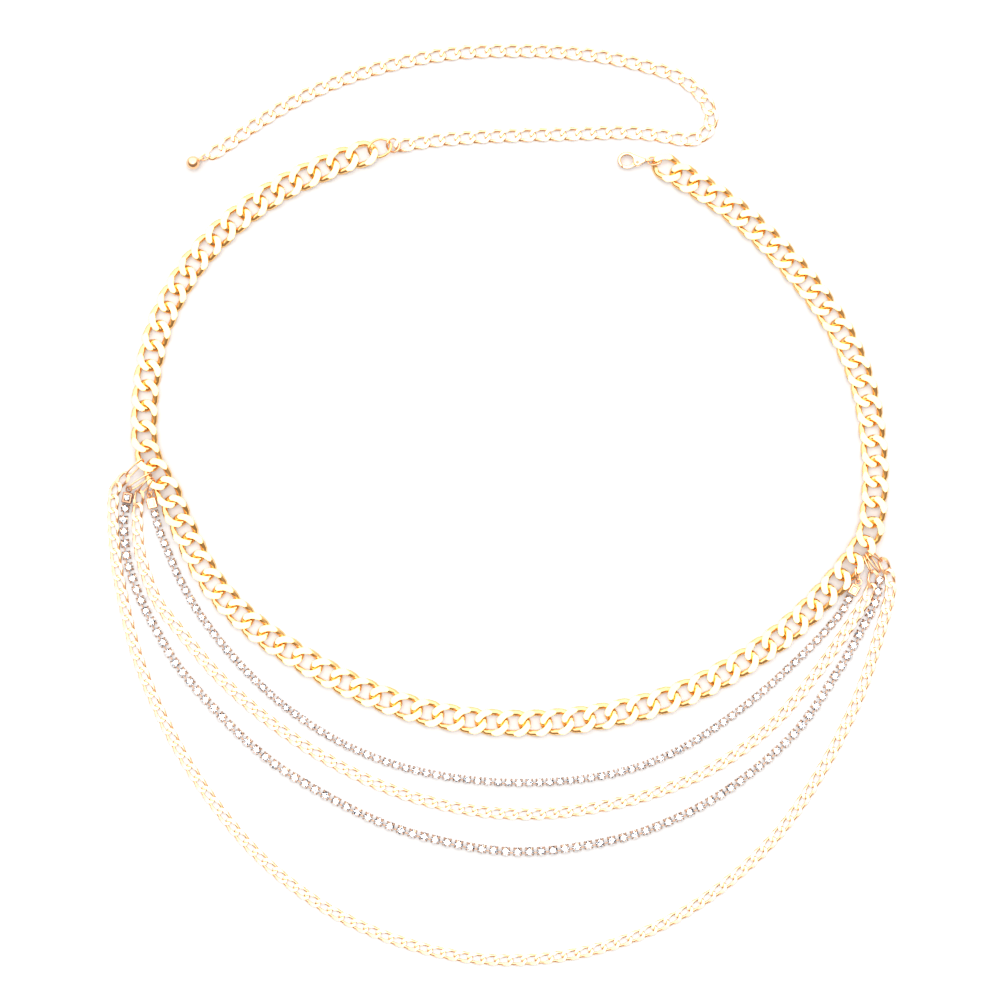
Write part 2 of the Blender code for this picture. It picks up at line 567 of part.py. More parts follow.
def clasp(links, lift, parts, cutters, look):
    """The lobster clasp, its sprung lever and the ring that joins it to the heavy chain."""
    first = links[0]
    backwards = Vector((-first["heading"].x, -first["heading"].y, 0))
    bar = first["place"] + backwards * first["back"] + Vector((0, 0, lift))
    beyond = MAIN_WIRE / 2 + CLEARANCE + CLASP_RING_WIRE / 2 + JOIN_EASE
    eye_height = CLASP_EYE_RADIUS + CLASP_EYE_WIRE / 2
    hole = Vector((49.9 * MM, 138.1 * MM, 0))
    eye = hole + Vector((CLASP_EYE_X, 0, eye_height))
    far = bar + (bar - eye).normalized() * beyond
    quarter = (pi / 2 - MAIN_TWIST) / 2
    side = Vector((0, cos(quarter), -sin(quarter)))
    span_ring("clasp_ring", eye, far, side, CLASP_RING_WIDTH, CLASP_RING_WIRE, parts, look, quarter)

    pivot = (CLASP_PIVOT_X, CLASP_PIVOT_Y)
    middle = CLASP_THICKNESS / 2
    hook_reach = LEVER_TIP_RADIUS + CLEARANCE
    outline = (
        ellipse(CLASP_OUTER_X, CLASP_OUTER_Y, angle_within(CLASP_OUTER_X, CLASP_OUTER_Y, hook_reach), 48, 10)
        + [(CLASP_NECK_X - 1.6 * MM, 1.5 * MM), (CLASP_NECK_X, CLASP_NECK_WIDTH / 2), (CLASP_EYE_X - CLASP_EYE_RADIUS + 0.2 * MM, 0.5 * MM),
           (CLASP_EYE_X - CLASP_EYE_RADIUS + 0.2 * MM, -0.5 * MM), (CLASP_NECK_X, -CLASP_NECK_WIDTH / 2)]
        + circle(pivot, CLASP_CHEEK_RADIUS, -35, -185, 5)
        + ellipse(CLASP_HOLE_X, CLASP_HOLE_Y, -4, angle_within(CLASP_HOLE_X, CLASP_HOLE_Y, hook_reach), 11)
    )
    body = add("clasp_body", plate("clasp_body", outline, 0, CLASP_THICKNESS, CLASP_EDGE), parts, look)
    slot_size = Matrix.Diagonal((2 * CLASP_CHEEK_RADIUS + 1.4 * MM, 3.8 * MM, CLASP_SLOT, 1))
    bm = bmesh.new()
    slot_place = Matrix.Translation((CLASP_PIVOT_X - 0.6 * MM, CLASP_PIVOT_Y - 0.4 * MM, middle))
    bmesh.ops.create_cube(bm, size=1, matrix=slot_place @ slot_size)
    slot_mesh = bpy.data.meshes.new("clasp_slot")
    bm.to_mesh(slot_mesh)
    bm.free()
    slot = add("clasp_slot", slot_mesh, cutters)
    pin = add("clasp_pin", cylinder("clasp_pin", pivot, CLASP_PIN_RADIUS, 0.3 * MM, CLASP_THICKNESS - 0.3 * MM), cutters)
    eye_ring = ring_mesh("clasp_eye", CLASP_EYE_RADIUS, CLASP_EYE_RADIUS,
                         2 * CLASP_EYE_RADIUS + CLASP_EYE_WIRE, CLASP_EYE_WIRE)
    eye_ring.transform(Matrix.Translation((CLASP_EYE_X, 0, eye_height)) @ Matrix.Rotation(pi / 2, 4, "X"))
    boolean(body, slot, "DIFFERENCE", cutters)
    boolean(body, pin, "UNION", cutters)
    boolean(body, add("clasp_eye", eye_ring, cutters), "UNION", cutters)

    # The lever's arm closes the hook from below, and its thinner root turns on the pin inside the slot
    arm_middle_x = (CLASP_OUTER_X + CLASP_HOLE_X) / 2
    arm_middle_y = (CLASP_OUTER_Y + CLASP_HOLE_Y) / 2
    half = LEVER_WIDTH / 2
    arm_outer = (arm_middle_x + half, arm_middle_y + half)
    arm_inner = (arm_middle_x - half, arm_middle_y - half)
    root_angle = 296
    arm = (
        ellipse(*arm_outer, angle_within(*arm_outer, LEVER_TIP_RADIUS), root_angle, 5)
        + circle(pivot, CLASP_CHEEK_RADIUS + CLEARANCE, 232, 196, 2)
        + ellipse(*arm_inner, root_angle, angle_within(*arm_inner, LEVER_TIP_RADIUS), 5)
    )
    lever_low = (CLASP_THICKNESS - LEVER_THICKNESS) / 2
    lever = add("clasp_lever", plate("clasp_lever", arm, lever_low, CLASP_THICKNESS - lever_low), parts, look)
    root_low = (CLASP_THICKNESS - CLASP_SLOT) / 2 + CLEARANCE
    hub_radius = CLASP_CHEEK_RADIUS - CLEARANCE
    root = (
        circle(pivot, hub_radius, 132, -68, 8)
        + [(1.9 * MM, -2.6 * MM), (1.5 * MM, -2.0 * MM)]
    )
    hub = add("lever_root", plate("lever_root", root, root_low, CLASP_THICKNESS - root_low), cutters)
    bore = add("lever_bore", cylinder("lever_bore", pivot, CLASP_PIN_RADIUS + CLEARANCE, 0, CLASP_THICKNESS), cutters)
    boolean(lever, hub, "UNION", cutters)
    boolean(lever, bore, "DIFFERENCE", cutters)
    for piece in (body, slot, pin, lever, hub, bore, cutters.objects["clasp_eye"]):
        piece.data.transform(Matrix.Translation(hole))


def main():
    clear_scene()
    parts = collection("layered_body_chain")
    cutters = collection("cutters")
    gold = material("gold", GOLD)
    pale = material("pale_gold", PALE_GOLD)
    stones = material("stones", STONES)
    links = main_links()
    lift = max(depth_below(link) for link in links)
    heavy_chain(links, lift, parts, cutters, gold)
    tips = hangers(links, lift, parts, pale)
    strands(tips, parts, cutters, pale, stones)
    extender(links, lift, parts, cutters, gold, pale)
    clasp(links, lift, parts, cutters, pale)


main()
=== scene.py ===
"""The layered body chain on a white table, seen from straight above."""

from math import atan2, hypot, pi, radians

import bmesh
import bpy
from mathutils import Matrix, Vector


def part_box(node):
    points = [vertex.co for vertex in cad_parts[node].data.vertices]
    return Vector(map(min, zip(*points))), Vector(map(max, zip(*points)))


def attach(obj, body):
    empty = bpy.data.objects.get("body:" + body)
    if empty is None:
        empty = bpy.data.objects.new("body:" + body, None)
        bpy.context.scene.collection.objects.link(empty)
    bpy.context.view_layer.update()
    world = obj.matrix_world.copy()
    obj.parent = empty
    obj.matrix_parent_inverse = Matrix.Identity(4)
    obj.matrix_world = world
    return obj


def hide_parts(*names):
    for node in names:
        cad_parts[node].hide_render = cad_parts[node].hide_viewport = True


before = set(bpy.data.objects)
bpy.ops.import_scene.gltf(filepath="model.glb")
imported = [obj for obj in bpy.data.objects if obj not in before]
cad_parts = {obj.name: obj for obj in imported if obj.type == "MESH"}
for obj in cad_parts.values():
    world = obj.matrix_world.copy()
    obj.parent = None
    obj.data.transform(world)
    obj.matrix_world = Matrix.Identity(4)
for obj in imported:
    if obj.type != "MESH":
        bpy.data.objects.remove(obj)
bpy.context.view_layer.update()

MM = 0.001

# Heavy chain: spacing of its links, and the shares of its length between which the strands pull it taut
MAIN_PITCH = 8.15 * MM
TAUT_PITCH = 8.72 * MM
TAUT_FROM, TAUT_TO = 0.345, 0.625

# Height of each chain's wire above the table, and the links that lie higher because the strands hang there
MAIN_LIFT, FINE_LIFT, EXTENDER_LIFT = 1.32 * MM, 0.56 * MM, 0.62 * MM
RAISED_LINKS = (23, 64)
RAISED_BY = 2.1 * MM
RAISED_REACH = 4

# Links: width, wire, twist, and how far from their middle they are ground flat above and below
TWIST_SIGN = -1
MAIN_WIDTH, MAIN_WIRE, MAIN_TWIST, MAIN_FLAT = 10.8 * MM, 2.6 * MM, radians(33), 1.3 * MM
FINE_WIDTH, FINE_WIRE, FINE_TWIST, FINE_FLAT = 4.6 * MM, 1.22 * MM, radians(32), 0.54 * MM
EXTENDER_WIDTH, EXTENDER_WIRE, EXTENDER_TWIST, EXTENDER_FLAT = 5.5 * MM, 1.35 * MM, radians(32), 0.6 * MM

# Spacing of the smaller links, and the wire of the rings that they hook into
FINE_PITCH = 5.42 * MM
EXTENDER_PITCH = 6.08 * MM
HANGER_WIRE = 0.7 * MM
END_RING_WIRE = 0.7 * MM

# Steps round a link and round its wire, and the share of the wire's height that pressing leaves
MAIN_STEPS, FINE_STEPS, EXTENDER_STEPS = (32, 12, 0.97), (16, 10, 0.95), (20, 10, 0.95)

# How much below the pressed height pressing starts, how far two links' ends overlap, and what counts as 0
PRESSING_SLACK = 0.02
ENDS_OVERLAP = 0.02 * MM
TINY = 0.001 * MM

# Stones of the strands: spacing, size of a stone with its setting, and height
INNER_STONES = (4.16 * MM, 3.75 * MM, 2.3 * MM)
OUTER_STONES = (4.76 * MM, 4.2 * MM, 2.6 * MM)

# Routes of the chains in millimetres, as they lie on the table
MAIN_ROUTE = [
    (66, 135.2), (86.9, 122.5), (105.6, 106.8), (122.1, 88.6), (136, 68.4), (145.2, 45.3), (148.8, 21.1),
    (148.8, 4.5), (146.6, -11.2), (143, -17.7), (133.5, -30.3), (116.3, -47.9), (95.2, -63.2), (72.4, -75),
    (47.8, -82.4), (22.3, -86.2), (-4.5, -86.4), (-30.1, -82.5), (-54.6, -74.2), (-78, -62.2),
    (-99.5, -47.7), (-116, -30.4), (-127.4, -8.5), (-133.8, 6.6), (-138, 13.7), (-141.4, 20.7),
    (-142.8, 28.1), (-141.6, 52.1), (-135.3, 75.6), (-123.1, 97), (-106.4, 114.3), (-86.3, 127.9),
    (-64.4, 137.8), (-56, 140.6),
]
EXTENDER_ROUTE = [
    (-37.2, 144.6), (-25, 146.4), (-6.3, 147.8), (12.4, 148.4), (30.9, 148.9), (49.4, 149.4), (62, 148.4),
    (73, 146.6), (79.4, 147.7), (83.6, 153.4), (81, 162.6), (71.2, 171.2), (59.7, 175.3), (42, 179.4),
    (24, 181.5), (5.7, 182.1), (-12.8, 181.6), (-30.8, 179.4), (-48.8, 175.3), (-66.3, 169.6),
    (-83.1, 161.9), (-98.8, 152.4), (-111.5, 143.4),
]
STONE_INNER_ROUTE = [
    (-139.2, -1.3),
    (-138.4, -4), (-137.3, -8.6), (-134.4, -16.1), (-128.1, -30.6), (-118.8, -46.1), (-103.6, -64.5),
    (-84.7, -81.7), (-60.6, -96.4), (-32.1, -106.2), (2.7, -110.5), (38.6, -108.1), (68, -98.8),
    (96.2, -80.6), (119.8, -59.8), (134.4, -44), (139.3, -35.6),
]
CURB_INNER_ROUTE = [
    (-145.6, -0.4), (-145.7, -8.8), (-144.9, -17.8), (-142.4, -27.1), (-137.4, -38.6), (-129, -49.6),
    (-112, -69.4), (-92, -86.7), (-69.9, -101.2), (-45.8, -112.8), (-19.6, -120.3), (7.8, -123.2),
    (34.5, -121), (61.1, -114.6), (85.9, -103.8), (107.4, -87.9), (124.6, -68.2), (138.3, -48.8),
    (145.8, -36.6), (148, -31.5),
]
STONE_OUTER_ROUTE = [
    (-149.9, 1.2),
    (-151.2, -4.8), (-150.6, -14.3), (-149.2, -23.6), (-144.8, -36.3), (-138.5, -48.9), (-129.2, -64.4),
    (-114.8, -81.2), (-99.6, -96), (-82.5, -108.6), (-51.5, -125.2), (-24.6, -133.7), (4.2, -138.1),
    (33.1, -135.7), (60.2, -128.7), (88.4, -114.6), (116.1, -91.7), (134, -66.4), (143.6, -49.6),
    (149.2, -38.2), (151, -27.4),
]
CURB_OUTER_ROUTE = [
    (-153.8, 8.4), (-155.3, 3), (-155.5, -5), (-154.8, -16.4), (-152.8, -31), (-145.7, -60.4),
    (-133.3, -89.5), (-116.5, -116.8), (-95.2, -141.8), (-69.1, -161.5), (-39, -174.6), (-6.5, -181.2),
    (26.6, -179.5), (58.4, -169.9), (86.5, -153.2), (110.2, -131.1), (128.6, -104.3), (142.7, -76),
    (151.4, -49.6), (154.7, -37), (155.3, -31.4), (154.3, -26.6),
]

# Far tips of the hangers that hold the fine chains, left and right, and their height, in millimetres
CURB_INNER_TIPS = [(-144.7, 5.2), (147.8, -27)]
CURB_OUTER_TIPS = [(-149.8, 11.8), (151.8, -21.9)]
TIP_HEIGHT = 2.1

# Start of the extender in millimetres, the gap at each end, and how far below its ring's top it hooks on
EXTENDER_START = (-41.3, 143.8, 0.6)
EXTENDER_FIRST_GAP, EXTENDER_LAST_GAP = 0.5 * MM, 0.35 * MM
BELOW_RING_TOP = 0.9 * MM

# CAD nodes that are shown as rounded rings, and those that are shown as end cups
CAD_RINGS = [
    "end_link", "extender_first_link", "extender_end_ring", "clasp_ring",
    "hanger_curb_outer_left", "hanger_stone_outer_left", "hanger_curb_inner_left", "hanger_stone_inner_left",
    "hanger_curb_outer_right", "hanger_stone_outer_right", "hanger_curb_inner_right",
    "hanger_stone_inner_right",
]
CUPS = ["cup_inner_left", "cup_inner_right", "cup_outer_left"]

# How far points are merged, rings and ball swollen, and edges softened, in rounded copies of the solids
MERGED_WITHIN = 0.002 * MM
RING_SWELL, BALL_SWELL = 0.09 * MM, 0.08 * MM
CUP_EDGE, CLASP_EDGE, LEVER_EDGE = 0.14 * MM, 0.45 * MM, 0.15 * MM

# End cups: top, rim and recess, and the cup that holds a stone, with the stone's size and depth in it
CUP_TOP = 2.8 * MM
RIM_WIDTH, RECESS, RECESS_SLOPE = 0.45 * MM, 0.5 * MM, 0.3
STONE_CUP, STONE_CUP_CENTRE = "cup_outer_left", (-149.67, 3.29)
END_STONE, END_STONE_HEIGHT, END_STONE_SUNK = 3.3 * MM, 1.9 * MM, 1.3 * MM

# Head of the clasp's pin: place, radius, depth, height above the clasp, and its steps inwards and up
PIVOT, CLASP_TOP = (54.05, 137.3), 2.4 * MM
RIVET_RADIUS, RIVET_DEPTH, RIVET_LIFT = 0.62 * MM, 0.3 * MM, 0.1 * MM
RIVET_STEPS = [(0.16 * MM, 0.1 * MM), (0.2 * MM, 0.05 * MM)]

# Platings: colour, deeper colour, amount of it, roughness, cloudiness, scratch size and scratch depth
YELLOW_PLATING = ((1.0, 0.64, 0.29), (0.98, 0.47, 0.1), 0.4, 0.08, 0.1, 2200, 0.00002)
PALE_PLATING = ((0.98, 0.61, 0.36), (0.9, 0.45, 0.21), 0.4, 0.1, 0.1, 3000, 0.00001)
# The cups' plating is a darker copy of the gold: painted shade on the small prongs, the bars, the stone
# cup's rim and the pin's head
SHADED_CUP_PLATING = ((0.5, 0.29, 0.18), (0.3, 0.16, 0.1), 0.5, 0.14, 0.1, 3000, 0.00001)

# Camera straight above the chain, in metres, and the table
LENS, SENSOR_WIDTH = 110, 36
VIEW_CENTRE, VIEW_WIDTH = (-0.0008, 0.0024), 0.4
TABLE_SIZE, TABLE_COLOUR = 20, (0.68, 0.68, 0.685, 1)

# Studio light: how bright it is by how squarely a direction points at the soft box, and what colour
BOX_BRIGHTNESS = 2.4
TOWARDS_BOX = (-0.05, 0.64, 0.77)
WARM_ROOM = (1.0, 0.84, 0.68)
SKY = [(0.0, 0.13, WARM_ROOM), (0.25, 0.24, WARM_ROOM), (0.4, 0.38, (1, 0.93, 0.82)), (0.5, 1.0, (1, 1, 1)),
       (1.0, 1.0, (1, 1, 1))]
LAMP_HEIGHT, LAMP_SIZE, LAMP_POWER = 1.4, 0.8, 3.2


# Camera, table and light

def set_camera():
    data = bpy.data.cameras.new("camera")
    data.lens = LENS
    data.sensor_width = SENSOR_WIDTH
    camera = bpy.data.objects.new("camera", data)
    bpy.context.scene.collection.objects.link(camera)
    camera.location = (*VIEW_CENTRE, VIEW_WIDTH * LENS / SENSOR_WIDTH)
    bpy.context.scene.camera = camera


def set_table():
    deselect()
    bpy.ops.mesh.primitive_plane_add(size=TABLE_SIZE, location=(0, 0, 0))
    table = bpy.context.object
    table.name = "table"
    look = bpy.data.materials.new("white_table")
    look.use_nodes = True
    surface = look.node_tree.nodes["Principled BSDF"]
    surface.inputs["Base Color"].default_value = TABLE_COLOUR
    surface.inputs["Roughness"].default_value = 0.7
    surface.inputs["Specular IOR Level"].default_value = 0.2
    table.data.materials.append(look)


def set_light():
    """A wide soft box above and a little behind, in a room that is dark and warm away from it."""
    world = bpy.data.worlds.new("studio")
    bpy.context.scene.world = world
    world.use_nodes = True
    nodes, links = world.node_tree.nodes, world.node_tree.links
    background = nodes["Background"]
    where = nodes.new("ShaderNodeTexCoord")
    towards_box = nodes.new("ShaderNodeVectorMath")
    towards_box.operation = "DOT_PRODUCT"
    towards_box.inputs[1].default_value = Vector(TOWARDS_BOX).normalized()
    ramp = nodes.new("ShaderNodeValToRGB")
    links.new(where.outputs["Generated"], towards_box.inputs[0])
    links.new(towards_box.outputs["Value"], ramp.inputs["Fac"])
    links.new(ramp.outputs["Color"], background.inputs["Color"])
    background.inputs["Strength"].default_value = BOX_BRIGHTNESS
    marks = ramp.color_ramp.elements
    while len(marks) < len(SKY):
        marks.new(0.5)
    for mark, (place, level, tint) in zip(marks, SKY):
        mark.position = place
        mark.color = (level * tint[0], level * tint[1], level * tint[2], 1)
    data = bpy.data.lights.new("overhead_lamp", "AREA")
    data.size = LAMP_SIZE
    data.energy = LAMP_POWER
    lamp = bpy.data.objects.new("overhead_lamp", data)
    bpy.context.scene.collection.objects.link(lamp)
    lamp.location = (0, 0, LAMP_HEIGHT)
    bpy.context.scene.view_settings.view_transform = "Standard"


# Shader node groups

def group_with(name, inputs, outputs):
    """A node group with inputs given as (name, value) and outputs given as (name, socket type)."""
    group = bpy.data.node_groups.new(name, "ShaderNodeTree")
    for label, value in inputs:
        kind = "NodeSocketColor" if isinstance(value, tuple) else "NodeSocketFloat"
        socket = group.interface.new_socket(label, in_out="INPUT", socket_type=kind)
        socket.default_value = value
    for label, kind in outputs:
        group.interface.new_socket(label, in_out="OUTPUT", socket_type=kind)
    return group, group.nodes.new("NodeGroupInput"), group.nodes.new("NodeGroupOutput")


def polish_group():
    """Fine scratches and slightly cloudy polish: puts out a roughness and a height."""
    group, given, out = group_with(
        "polish_marks",
        [("Roughness", 0.12), ("Cloudiness", 0.08), ("Scratch Size", 2500.0)],
        [("Roughness", "NodeSocketFloat"), ("Height", "NodeSocketFloat")])
    nodes, links = group.nodes, group.links
    where = nodes.new("ShaderNodeTexCoord")
    clouds = nodes.new("ShaderNodeTexNoise")
    clouds.inputs["Scale"].default_value = 260
    clouds.inputs["Detail"].default_value = 3
    stretch = nodes.new("ShaderNodeMapping")
    stretch.inputs["Scale"].default_value = (1, 0.12, 1)
    scratches = nodes.new("ShaderNodeTexNoise")
    scratches.inputs["Detail"].default_value = 2
    amount = nodes.new("ShaderNodeMath")
    amount.operation = "MULTIPLY_ADD"
    links.new(where.outputs["Object"], clouds.inputs["Vector"])
    links.new(where.outputs["Object"], stretch.inputs["Vector"])
    links.new(stretch.outputs["Vector"], scratches.inputs["Vector"])
    links.new(given.outputs["Scratch Size"], scratches.inputs["Scale"])
    links.new(clouds.outputs["Fac"], amount.inputs[0])
    links.new(given.outputs["Cloudiness"], amount.inputs[1])
    links.new(given.outputs["Roughness"], amount.inputs[2])
    links.new(amount.outputs["Value"], out.inputs["Roughness"])
    links.new(scratches.outputs["Fac"], out.inputs["Height"])
    return group


def plating_group():
    """Plating that is a little deeper in colour in patches: puts out a colour."""
    group, given, out = group_with(
        "plating_tone",
        [("Plating", (1.0, 0.78, 0.4, 1)), ("Deep Plating", (0.95, 0.62, 0.2, 1)), ("Patch Size", 90.0),
         ("Amount", 0.35)],
        [("Color", "NodeSocketColor")])
    nodes, links = group.nodes, group.links
    where = nodes.new("ShaderNodeTexCoord")
    patches = nodes.new("ShaderNodeTexNoise")
    patches.inputs["Detail"].default_value = 2
    share = nodes.new("ShaderNodeMath")
    share.operation = "MULTIPLY"
    mix = nodes.new("ShaderNodeMix")
    mix.data_type = "RGBA"
    links.new(where.outputs["Object"], patches.inputs["Vector"])
    links.new(given.outputs["Patch Size"], patches.inputs["Scale"])
    links.new(patches.outputs["Fac"], share.inputs[0])
    links.new(given.outputs["Amount"], share.inputs[1])
    links.new(share.outputs["Value"], mix.inputs["Factor"])
    links.new(given.outputs["Plating"], mix.inputs["A"])
    links.new(given.outputs["Deep Plating"], mix.inputs["B"])
    links.new(mix.outputs["Result"], out.inputs["Color"])
    return group


def plated_metal(name, plating, deep, amount, roughness, cloudiness, scratch_size, depth):
    look = bpy.data.materials.new(name)
    look.use_nodes = True
    nodes, links = look.node_tree.nodes, look.node_tree.links
    surface = nodes["Principled BSDF"]
    surface.inputs["Metallic"].default_value = 1
    tone = nodes.new("ShaderNodeGroup")
    tone.node_tree = bpy.data.node_groups["plating_tone"]
    tone.inputs["Plating"].default_value = (*plating, 1)
    tone.inputs["Deep Plating"].default_value = (*deep, 1)
    tone.inputs["Amount"].default_value = amount
    polish = nodes.new("ShaderNodeGroup")
    polish.node_tree = bpy.data.node_groups["polish_marks"]
    polish.inputs["Roughness"].default_value = roughness
    polish.inputs["Cloudiness"].default_value = cloudiness
    polish.inputs["Scratch Size"].default_value = scratch_size
    bump = nodes.new("ShaderNodeBump")
    bump.inputs["Strength"].default_value = 0.12
    bump.inputs["Distance"].default_value = depth
    links.new(tone.outputs["Color"], surface.inputs["Base Color"])
    links.new(polish.outputs["Roughness"], surface.inputs["Roughness"])
    links.new(polish.outputs["Height"], bump.inputs["Height"])
    links.new(bump.outputs["Normal"], surface.inputs["Normal"])
    return look


def glint_group():
    """Painted reflections: small cells, some bright and some dark, as the facets behind a stone's table
    throw them back.
    """
    group, given, out = group_with(
        "stone_glints",
        [("Bright", (0.95, 0.97, 1.0, 1)), ("Dark", (0.03, 0.045, 0.07, 1)), ("Cells", 2000.0),
         ("Dark From", 0.5)],
        [("Color", "NodeSocketColor")])
    nodes, links = group.nodes, group.links
    where = nodes.new("ShaderNodeTexCoord")
    cells = nodes.new("ShaderNodeTexVoronoi")
    parts = nodes.new("ShaderNodeSeparateColor")
    above = nodes.new("ShaderNodeMapRange")
    above.inputs["From Max"].default_value = 0.9
    mix = nodes.new("ShaderNodeMix")
    mix.data_type = "RGBA"
    links.new(where.outputs["Object"], cells.inputs["Vector"])
    links.new(given.outputs["Cells"], cells.inputs["Scale"])
    links.new(cells.outputs["Color"], parts.inputs["Color"])
    links.new(parts.outputs["Red"], above.inputs["Value"])
    links.new(given.outputs["Dark From"], above.inputs["From Min"])
    links.new(above.outputs["Result"], mix.inputs["Factor"])
    links.new(given.outputs["Bright"], mix.inputs["A"])
    links.new(given.outputs["Dark"], mix.inputs["B"])
    links.new(mix.outputs["Result"], out.inputs["Color"])
    return group


def stone_look():
    """Clear stones with foil behind them: bright facets with small grey-blue glints, painted into their
    colour as reflections.
    """
    look = bpy.data.materials.new("clear_stone")
    look.use_nodes = True
    nodes, links = look.node_tree.nodes, look.node_tree.links
    surface = nodes["Principled BSDF"]
    surface.inputs["Metallic"].default_value = 0.9
    surface.inputs["IOR"].default_value = 1.6
    glints = nodes.new("ShaderNodeGroup")
    glints.node_tree = bpy.data.node_groups["stone_glints"]
    polish = nodes.new("ShaderNodeGroup")
    polish.node_tree = bpy.data.node_groups["polish_marks"]
    polish.inputs["Roughness"].default_value = 0.03
    polish.inputs["Cloudiness"].default_value = 0.04
    polish.inputs["Scratch Size"].default_value = 900
    links.new(glints.outputs["Color"], surface.inputs["Base Color"])
    links.new(polish.outputs["Roughness"], surface.inputs["Roughness"])
    return look


# Routes

def smooth_curve(points, steps=24):
    ends = [2 * points[0] - points[1], *points, 2 * points[-1] - points[-2]]
    dense = []
    for before, start, end, after in zip(ends, ends[1:], ends[2:], ends[3:]):
        for step in range(steps):
            t = step / steps
            dense.append(0.5 * (2 * start + (end - before) * t
                                + (2 * before - 5 * start + 4 * end - after) * t * t
                                + (3 * start - before - 3 * end + after) * t ** 3))
    dense.append(points[-1])
    return dense


def distances_along(points):
    travelled = [0.0]
    for start, end in zip(points, points[1:]):
        travelled.append(travelled[-1] + (end - start).length)
    return travelled


def points_at(dense, wanted):
    travelled = distances_along(dense)
    places, k = [], 0
    for distance in wanted:
        while k < len(dense) - 2 and travelled[k + 1] < distance:
            k += 1
        share = (distance - travelled[k]) / (travelled[k + 1] - travelled[k])
        places.append(dense[k].lerp(dense[k + 1], share))
    return places


def on_table(points_mm, height=0.0):
    return [Vector((x * MM, y * MM, height)) for x, y in points_mm]


def heavy_links():
    """Place, heading and pitch of each heavy link. The links lie where the solid ones do."""
    dense = smooth_curve(on_table(MAIN_ROUTE))
    length = distances_along(dense)[-1]
    spacings, travelled = [], 0.0
    while travelled < length - MAIN_PITCH / 2:
        taut = TAUT_FROM < travelled / length < TAUT_TO
        spacings.append(TAUT_PITCH if taut else MAIN_PITCH)
        travelled += spacings[-1]
    spacings = [spacing * length / travelled for spacing in spacings]
    places = points_at(dense, [sum(spacings[:count]) for count in range(len(spacings) + 1)])
    for number, place in enumerate(places):
        nearest = min(abs(number - raised) for raised in RAISED_LINKS)
        place.z = RAISED_BY * max(1 - nearest / RAISED_REACH, 0)
    links = []
    for number, place in enumerate(places):
        before = places[max(number - 1, 0)]
        after = places[min(number + 1, len(places) - 1)]
        pitch = (spacings[max(number - 1, 0)] + spacings[min(number, len(spacings) - 1)]) / 2
        links.append((place, (after - before).normalized(), pitch))
    return links


def lying(place, heading, height=0.0, half_length=0.0):
    """Where a link lies: along its heading, and no end of it below the table."""
    turn = Matrix.Rotation(atan2(heading.y, heading.x), 4, "Z")
    slope = Matrix.Rotation(-atan2(heading.z, hypot(heading.x, heading.y)), 4, "Y")
    lift = height + max(place.z, abs(heading.z) * half_length)
    return Matrix.Translation((place.x, place.y, lift)) @ turn @ slope


# Modelling helpers

def deselect():
    bpy.ops.object.select_all(action="DESELECT")


def active(piece):
    deselect()
    piece.select_set(True)
    bpy.context.view_layer.objects.active = piece


def select_where(test, kind="VERT"):
    """Selects the vertices or faces of the mesh in edit mode whose middle passes a test."""
    bpy.ops.mesh.select_mode(type=kind)
    bpy.ops.mesh.select_all(action="DESELECT")
    shape = bmesh.from_edit_mesh(bpy.context.object.data)
    if kind == "VERT":
        for vertex in shape.verts:
            vertex.select_set(test(vertex.co))
    else:
        for face in shape.faces:
            face.select_set(test(face.calc_center_median()))
    shape.select_flush_mode()
    bmesh.update_edit_mesh(bpy.context.object.data)


def curb_link(name, pitch, width, wire, twist, flat, steps, sides, pressed):
    """One curb link along X: a ring pressed flatter, drawn out, twisted and ground flat."""
    deselect()
    bpy.ops.mesh.primitive_torus_add(major_segments=steps, minor_segments=sides,
                                     major_radius=(width - wire) / 2, minor_radius=wire / 2)
    link = bpy.context.object
    link.name = name
    half = pitch / 2 + wire / 2 - ENDS_OVERLAP
    draw_out = half - (width - wire) / 2
    bpy.ops.object.mode_set(mode="EDIT")
    for side in (1, -1):
        select_where(lambda place: side * place.z > (pressed - PRESSING_SLACK) * wire / 2)
        bpy.ops.transform.resize(value=(1, 1, 0), center_override=(0, 0, side * pressed * wire / 2))
    select_where(lambda place: place.x > TINY)
    bpy.ops.transform.translate(value=(draw_out, 0, 0))
    select_where(lambda place: place.x < -TINY)
    bpy.ops.transform.translate(value=(-draw_out, 0, 0))
    bpy.ops.object.mode_set(mode="OBJECT")
    bend = link.modifiers.new("twist", "SIMPLE_DEFORM")
    bend.deform_method = "TWIST"
    bend.deform_axis = "X"
    bend.angle = TWIST_SIGN * 2 * twist * (half + wire / 2) / half
    bpy.ops.object.modifier_apply(modifier=bend.name)
    bpy.ops.object.mode_set(mode="EDIT")
    for side in (1, -1):
        bpy.ops.mesh.select_all(action="SELECT")
        bpy.ops.mesh.bisect(plane_co=(0, 0, side * flat), plane_no=(0, 0, side), use_fill=True,
                            clear_outer=True)
    bpy.ops.mesh.select_all(action="SELECT")
    bpy.ops.mesh.normals_make_consistent(inside=False)
    select_where(lambda place: abs(abs(place.z) - flat) < TINY, "FACE")
    bpy.ops.mesh.region_to_loop()
    bpy.ops.mesh.mark_sharp()
    bpy.ops.object.mode_set(mode="OBJECT")
    bpy.ops.object.shade_smooth_by_angle(angle=radians(35), keep_sharp_edges=True)
    return link


def repeated(name, pattern, matrices, look, body, nodes):
    """Copies of one piece at these places, joined and riding on a body in place of CAD nodes."""
    copies = []
    for matrix in matrices:
        one = pattern.copy()
        one.data = pattern.data.copy()
        bpy.context.scene.collection.objects.link(one)
        one.data.transform(matrix)
        copies.append(one)
    deselect()
    for one in copies:
        one.select_set(True)
    bpy.context.view_layer.objects.active = copies[0]
    if len(copies) > 1:
        bpy.ops.object.join()
    piece = bpy.context.view_layer.objects.active
    piece.name = name
    finish_piece(piece, look, body, nodes)


